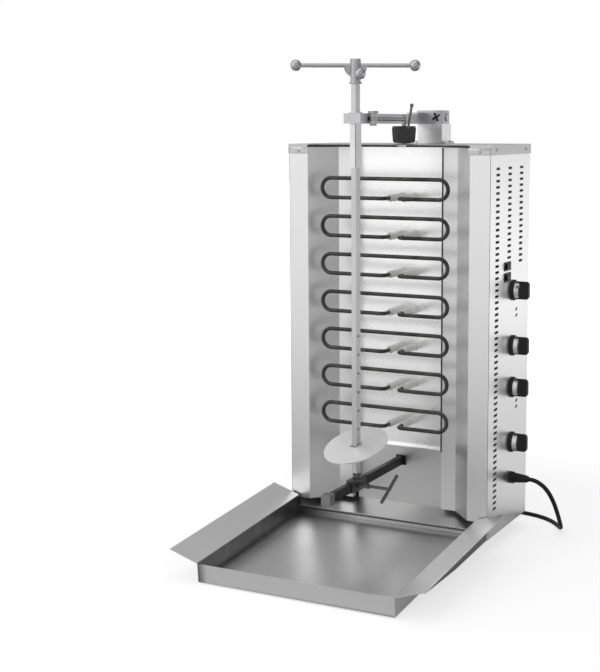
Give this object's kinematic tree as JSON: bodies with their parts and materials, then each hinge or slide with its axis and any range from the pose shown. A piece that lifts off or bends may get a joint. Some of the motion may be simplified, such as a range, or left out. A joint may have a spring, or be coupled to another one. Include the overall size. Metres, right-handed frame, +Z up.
{
  "type": "electric skewer grill",
  "caption": "Upright countertop skewer grill: turning spit on a sliding drive arm, looped heating elements in a steel body, side controls and a pull-out drip tray.",
  "frame": {"origin": "on the table, below the middle of the machine's bounding box without its free mains cord", "axes": "+Z up, front with the spit and drip tray towards -Y, controls on the +X side"},
  "size_m": [0.5915, 0.8233, 0.981],
  "materials": {
    "stainless_body": "fine brushed stainless sheet",
    "polished_steel": "polished stainless sheet",
    "tray_steel": "plain stainless sheet",
    "element_tube": "oxidised heating tube",
    "ceramic": "white ceramic",
    "black_iron": "black enamelled bar",
    "cast_steel": "machined grey metal",
    "bright_steel": "bright steel bar",
    "plate_steel": "bright stainless disc",
    "fastener_steel": "zinc-plated steel",
    "pulley_metal": "turned aluminium",
    "motor_metal": "grey painted gear motor",
    "bronze": "sintered bronze",
    "belt_rubber": "ribbed belt rubber",
    "foot_rubber": "moulded rubber",
    "black_plastic": "moulded black phenolic",
    "black_rod": "blackened rod",
    "terminal_plastic": "heat-proof terminal plastic",
    "cord_rubber": "black rubber sheath"
  },
  "bodies": {
    "housing": {"base_frame": "tray_steel", "feet": "foot_rubber", "side_panel_right": "stainless_body", "side_panel_left": "stainless_body", "rear_panel": "stainless_body", "top_plate": "stainless_body", "column_right": "polished_steel", "column_left": "polished_steel", "back_reflector": "polished_steel", "lower_panel": "tray_steel", "heating_element_1": "element_tube", "heating_element_2": "element_tube", "heating_element_3": "element_tube", "heating_element_4": "element_tube", "heating_element_5": "element_tube", "heating_element_6": "element_tube", "heating_element_7": "element_tube", "element_bushes": "ceramic", "switch_bodies": "black_plastic", "rocker_housings": "black_plastic", "cable_gland": "black_plastic", "terminal_block": "terminal_plastic", "panel_screws": "fastener_steel", "rail": "black_iron", "rail_end_block": "cast_steel", "power_cord": "cord_rubber", "cord_coil": "cord_rubber", "cord_lead": "cord_rubber", "plug": "cord_rubber"},
    "upper_unit": {"motor_box": "cast_steel", "gear_motor": "motor_metal", "arm_housing": "cast_steel", "arm_cover": "cast_steel", "quill_bushes": "bronze", "drive_belt": "belt_rubber", "clamp_stud": "bright_steel", "slide_screws": "fastener_steel", "lock_pin": "cast_steel"},
    "lock_arm": {"lock_lever": "cast_steel"},
    "spit_sleeve": {"quill": "bright_steel", "quill_pulley": "pulley_metal"},
    "motor_shaft": {"motor_pulley": "pulley_metal"},
    "spit": {"spit_bar": "bright_steel", "handle_hub": "bright_steel", "handle_bar": "bright_steel", "meat_plate": "plate_steel", "plate_pin": "bright_steel"},
    "foot": {"foot_block": "cast_steel", "foot_bush": "bronze"},
    "foot_clamp": {"foot_screw": "bright_steel", "foot_tbar": "bright_steel"},
    "clamp": {"clamp_knob": "black_plastic", "clamp_lever": "black_rod"},
    "tray": {"drip_tray": "tray_steel"},
    "heat_knob_1": {"knob_1": "black_plastic"},
    "heat_knob_2": {"knob_2": "black_plastic"},
    "heat_knob_3": {"knob_3": "black_plastic"},
    "heat_knob_4": {"knob_4": "black_plastic"},
    "switch_upper": {"rocker_1": "black_plastic"},
    "switch_lower": {"rocker_2": "black_plastic"}
  },
  "joints": [
    {"name": "arm_slide", "type": "slide", "parent": "housing", "child": "upper_unit", "axis": [0, -1, 0], "range_m": [0, 0.05]},
    {"name": "foot_slide", "type": "slide", "parent": "housing", "child": "foot", "axis": [0, -1, 0], "range_m": [0, 0.05]},
    {"name": "spit_turn", "type": "hinge", "parent": "upper_unit", "child": "spit_sleeve", "pos_m": [0, -0.05625, 0.868], "axis": [0, 0, 1], "continuous": true},
    {"name": "motor_turn", "type": "hinge", "parent": "upper_unit", "child": "motor_shaft", "pos_m": [0, 0.27975, 0.868], "axis": [0, 0, 1], "continuous": true},
    {"name": "spit_lift", "type": "slide", "parent": "spit_sleeve", "child": "spit", "axis": [0, 0, 1], "range_m": [0, 0.08]},
    {"name": "foot_screw_turn", "type": "hinge", "parent": "foot", "child": "foot_clamp", "pos_m": [0.04, -0.05625, 0.15156], "axis": [1, 0, 0], "range_deg": [0, 270]},
    {"name": "clamp_turn", "type": "hinge", "parent": "upper_unit", "child": "clamp", "pos_m": [0, 0.16375, 0.83], "axis": [0, 0, 1], "range_deg": [0, 85]},
    {"name": "lock_turn", "type": "hinge", "parent": "upper_unit", "child": "lock_arm", "pos_m": [0.024, -0.02925, 0.868], "axis": [0, 0, -1], "range_deg": [0, 90]},
    {"name": "tray_slide", "type": "slide", "parent": "housing", "child": "tray", "axis": [0, -1, 0], "range_m": [0, 0.25]},
    {"name": "heat_knob_1_turn", "type": "hinge", "parent": "housing", "child": "heat_knob_1", "pos_m": [0.23, 0.21675, 0.52064], "axis": [1, 0, 0], "range_deg": [-270, 0]},
    {"name": "heat_knob_2_turn", "type": "hinge", "parent": "housing", "child": "heat_knob_2", "pos_m": [0.23, 0.21675, 0.4057], "axis": [1, 0, 0], "range_deg": [-270, 0]},
    {"name": "heat_knob_3_turn", "type": "hinge", "parent": "housing", "child": "heat_knob_3", "pos_m": [0.23, 0.21675, 0.31809], "axis": [1, 0, 0], "range_deg": [-270, 0]},
    {"name": "heat_knob_4_turn", "type": "hinge", "parent": "housing", "child": "heat_knob_4", "pos_m": [0.23, 0.21675, 0.20204], "axis": [1, 0, 0], "range_deg": [-270, 0]},
    {"name": "switch_upper_rock", "type": "hinge", "parent": "housing", "child": "switch_upper", "pos_m": [0.2215, 0.18075, 0.5731], "axis": [0, 0, -1], "range_deg": [0, 12]},
    {"name": "switch_lower_rock", "type": "hinge", "parent": "housing", "child": "switch_lower", "pos_m": [0.2215, 0.18075, 0.5511], "axis": [0, 0, -1], "range_deg": [0, 12]}
  ],
  "couplings": [
    {"joint": "foot_slide", "follows": "arm_slide", "ratio": 1},
    {"joint": "motor_turn", "follows": "spit_turn", "ratio": 2}
  ]
}
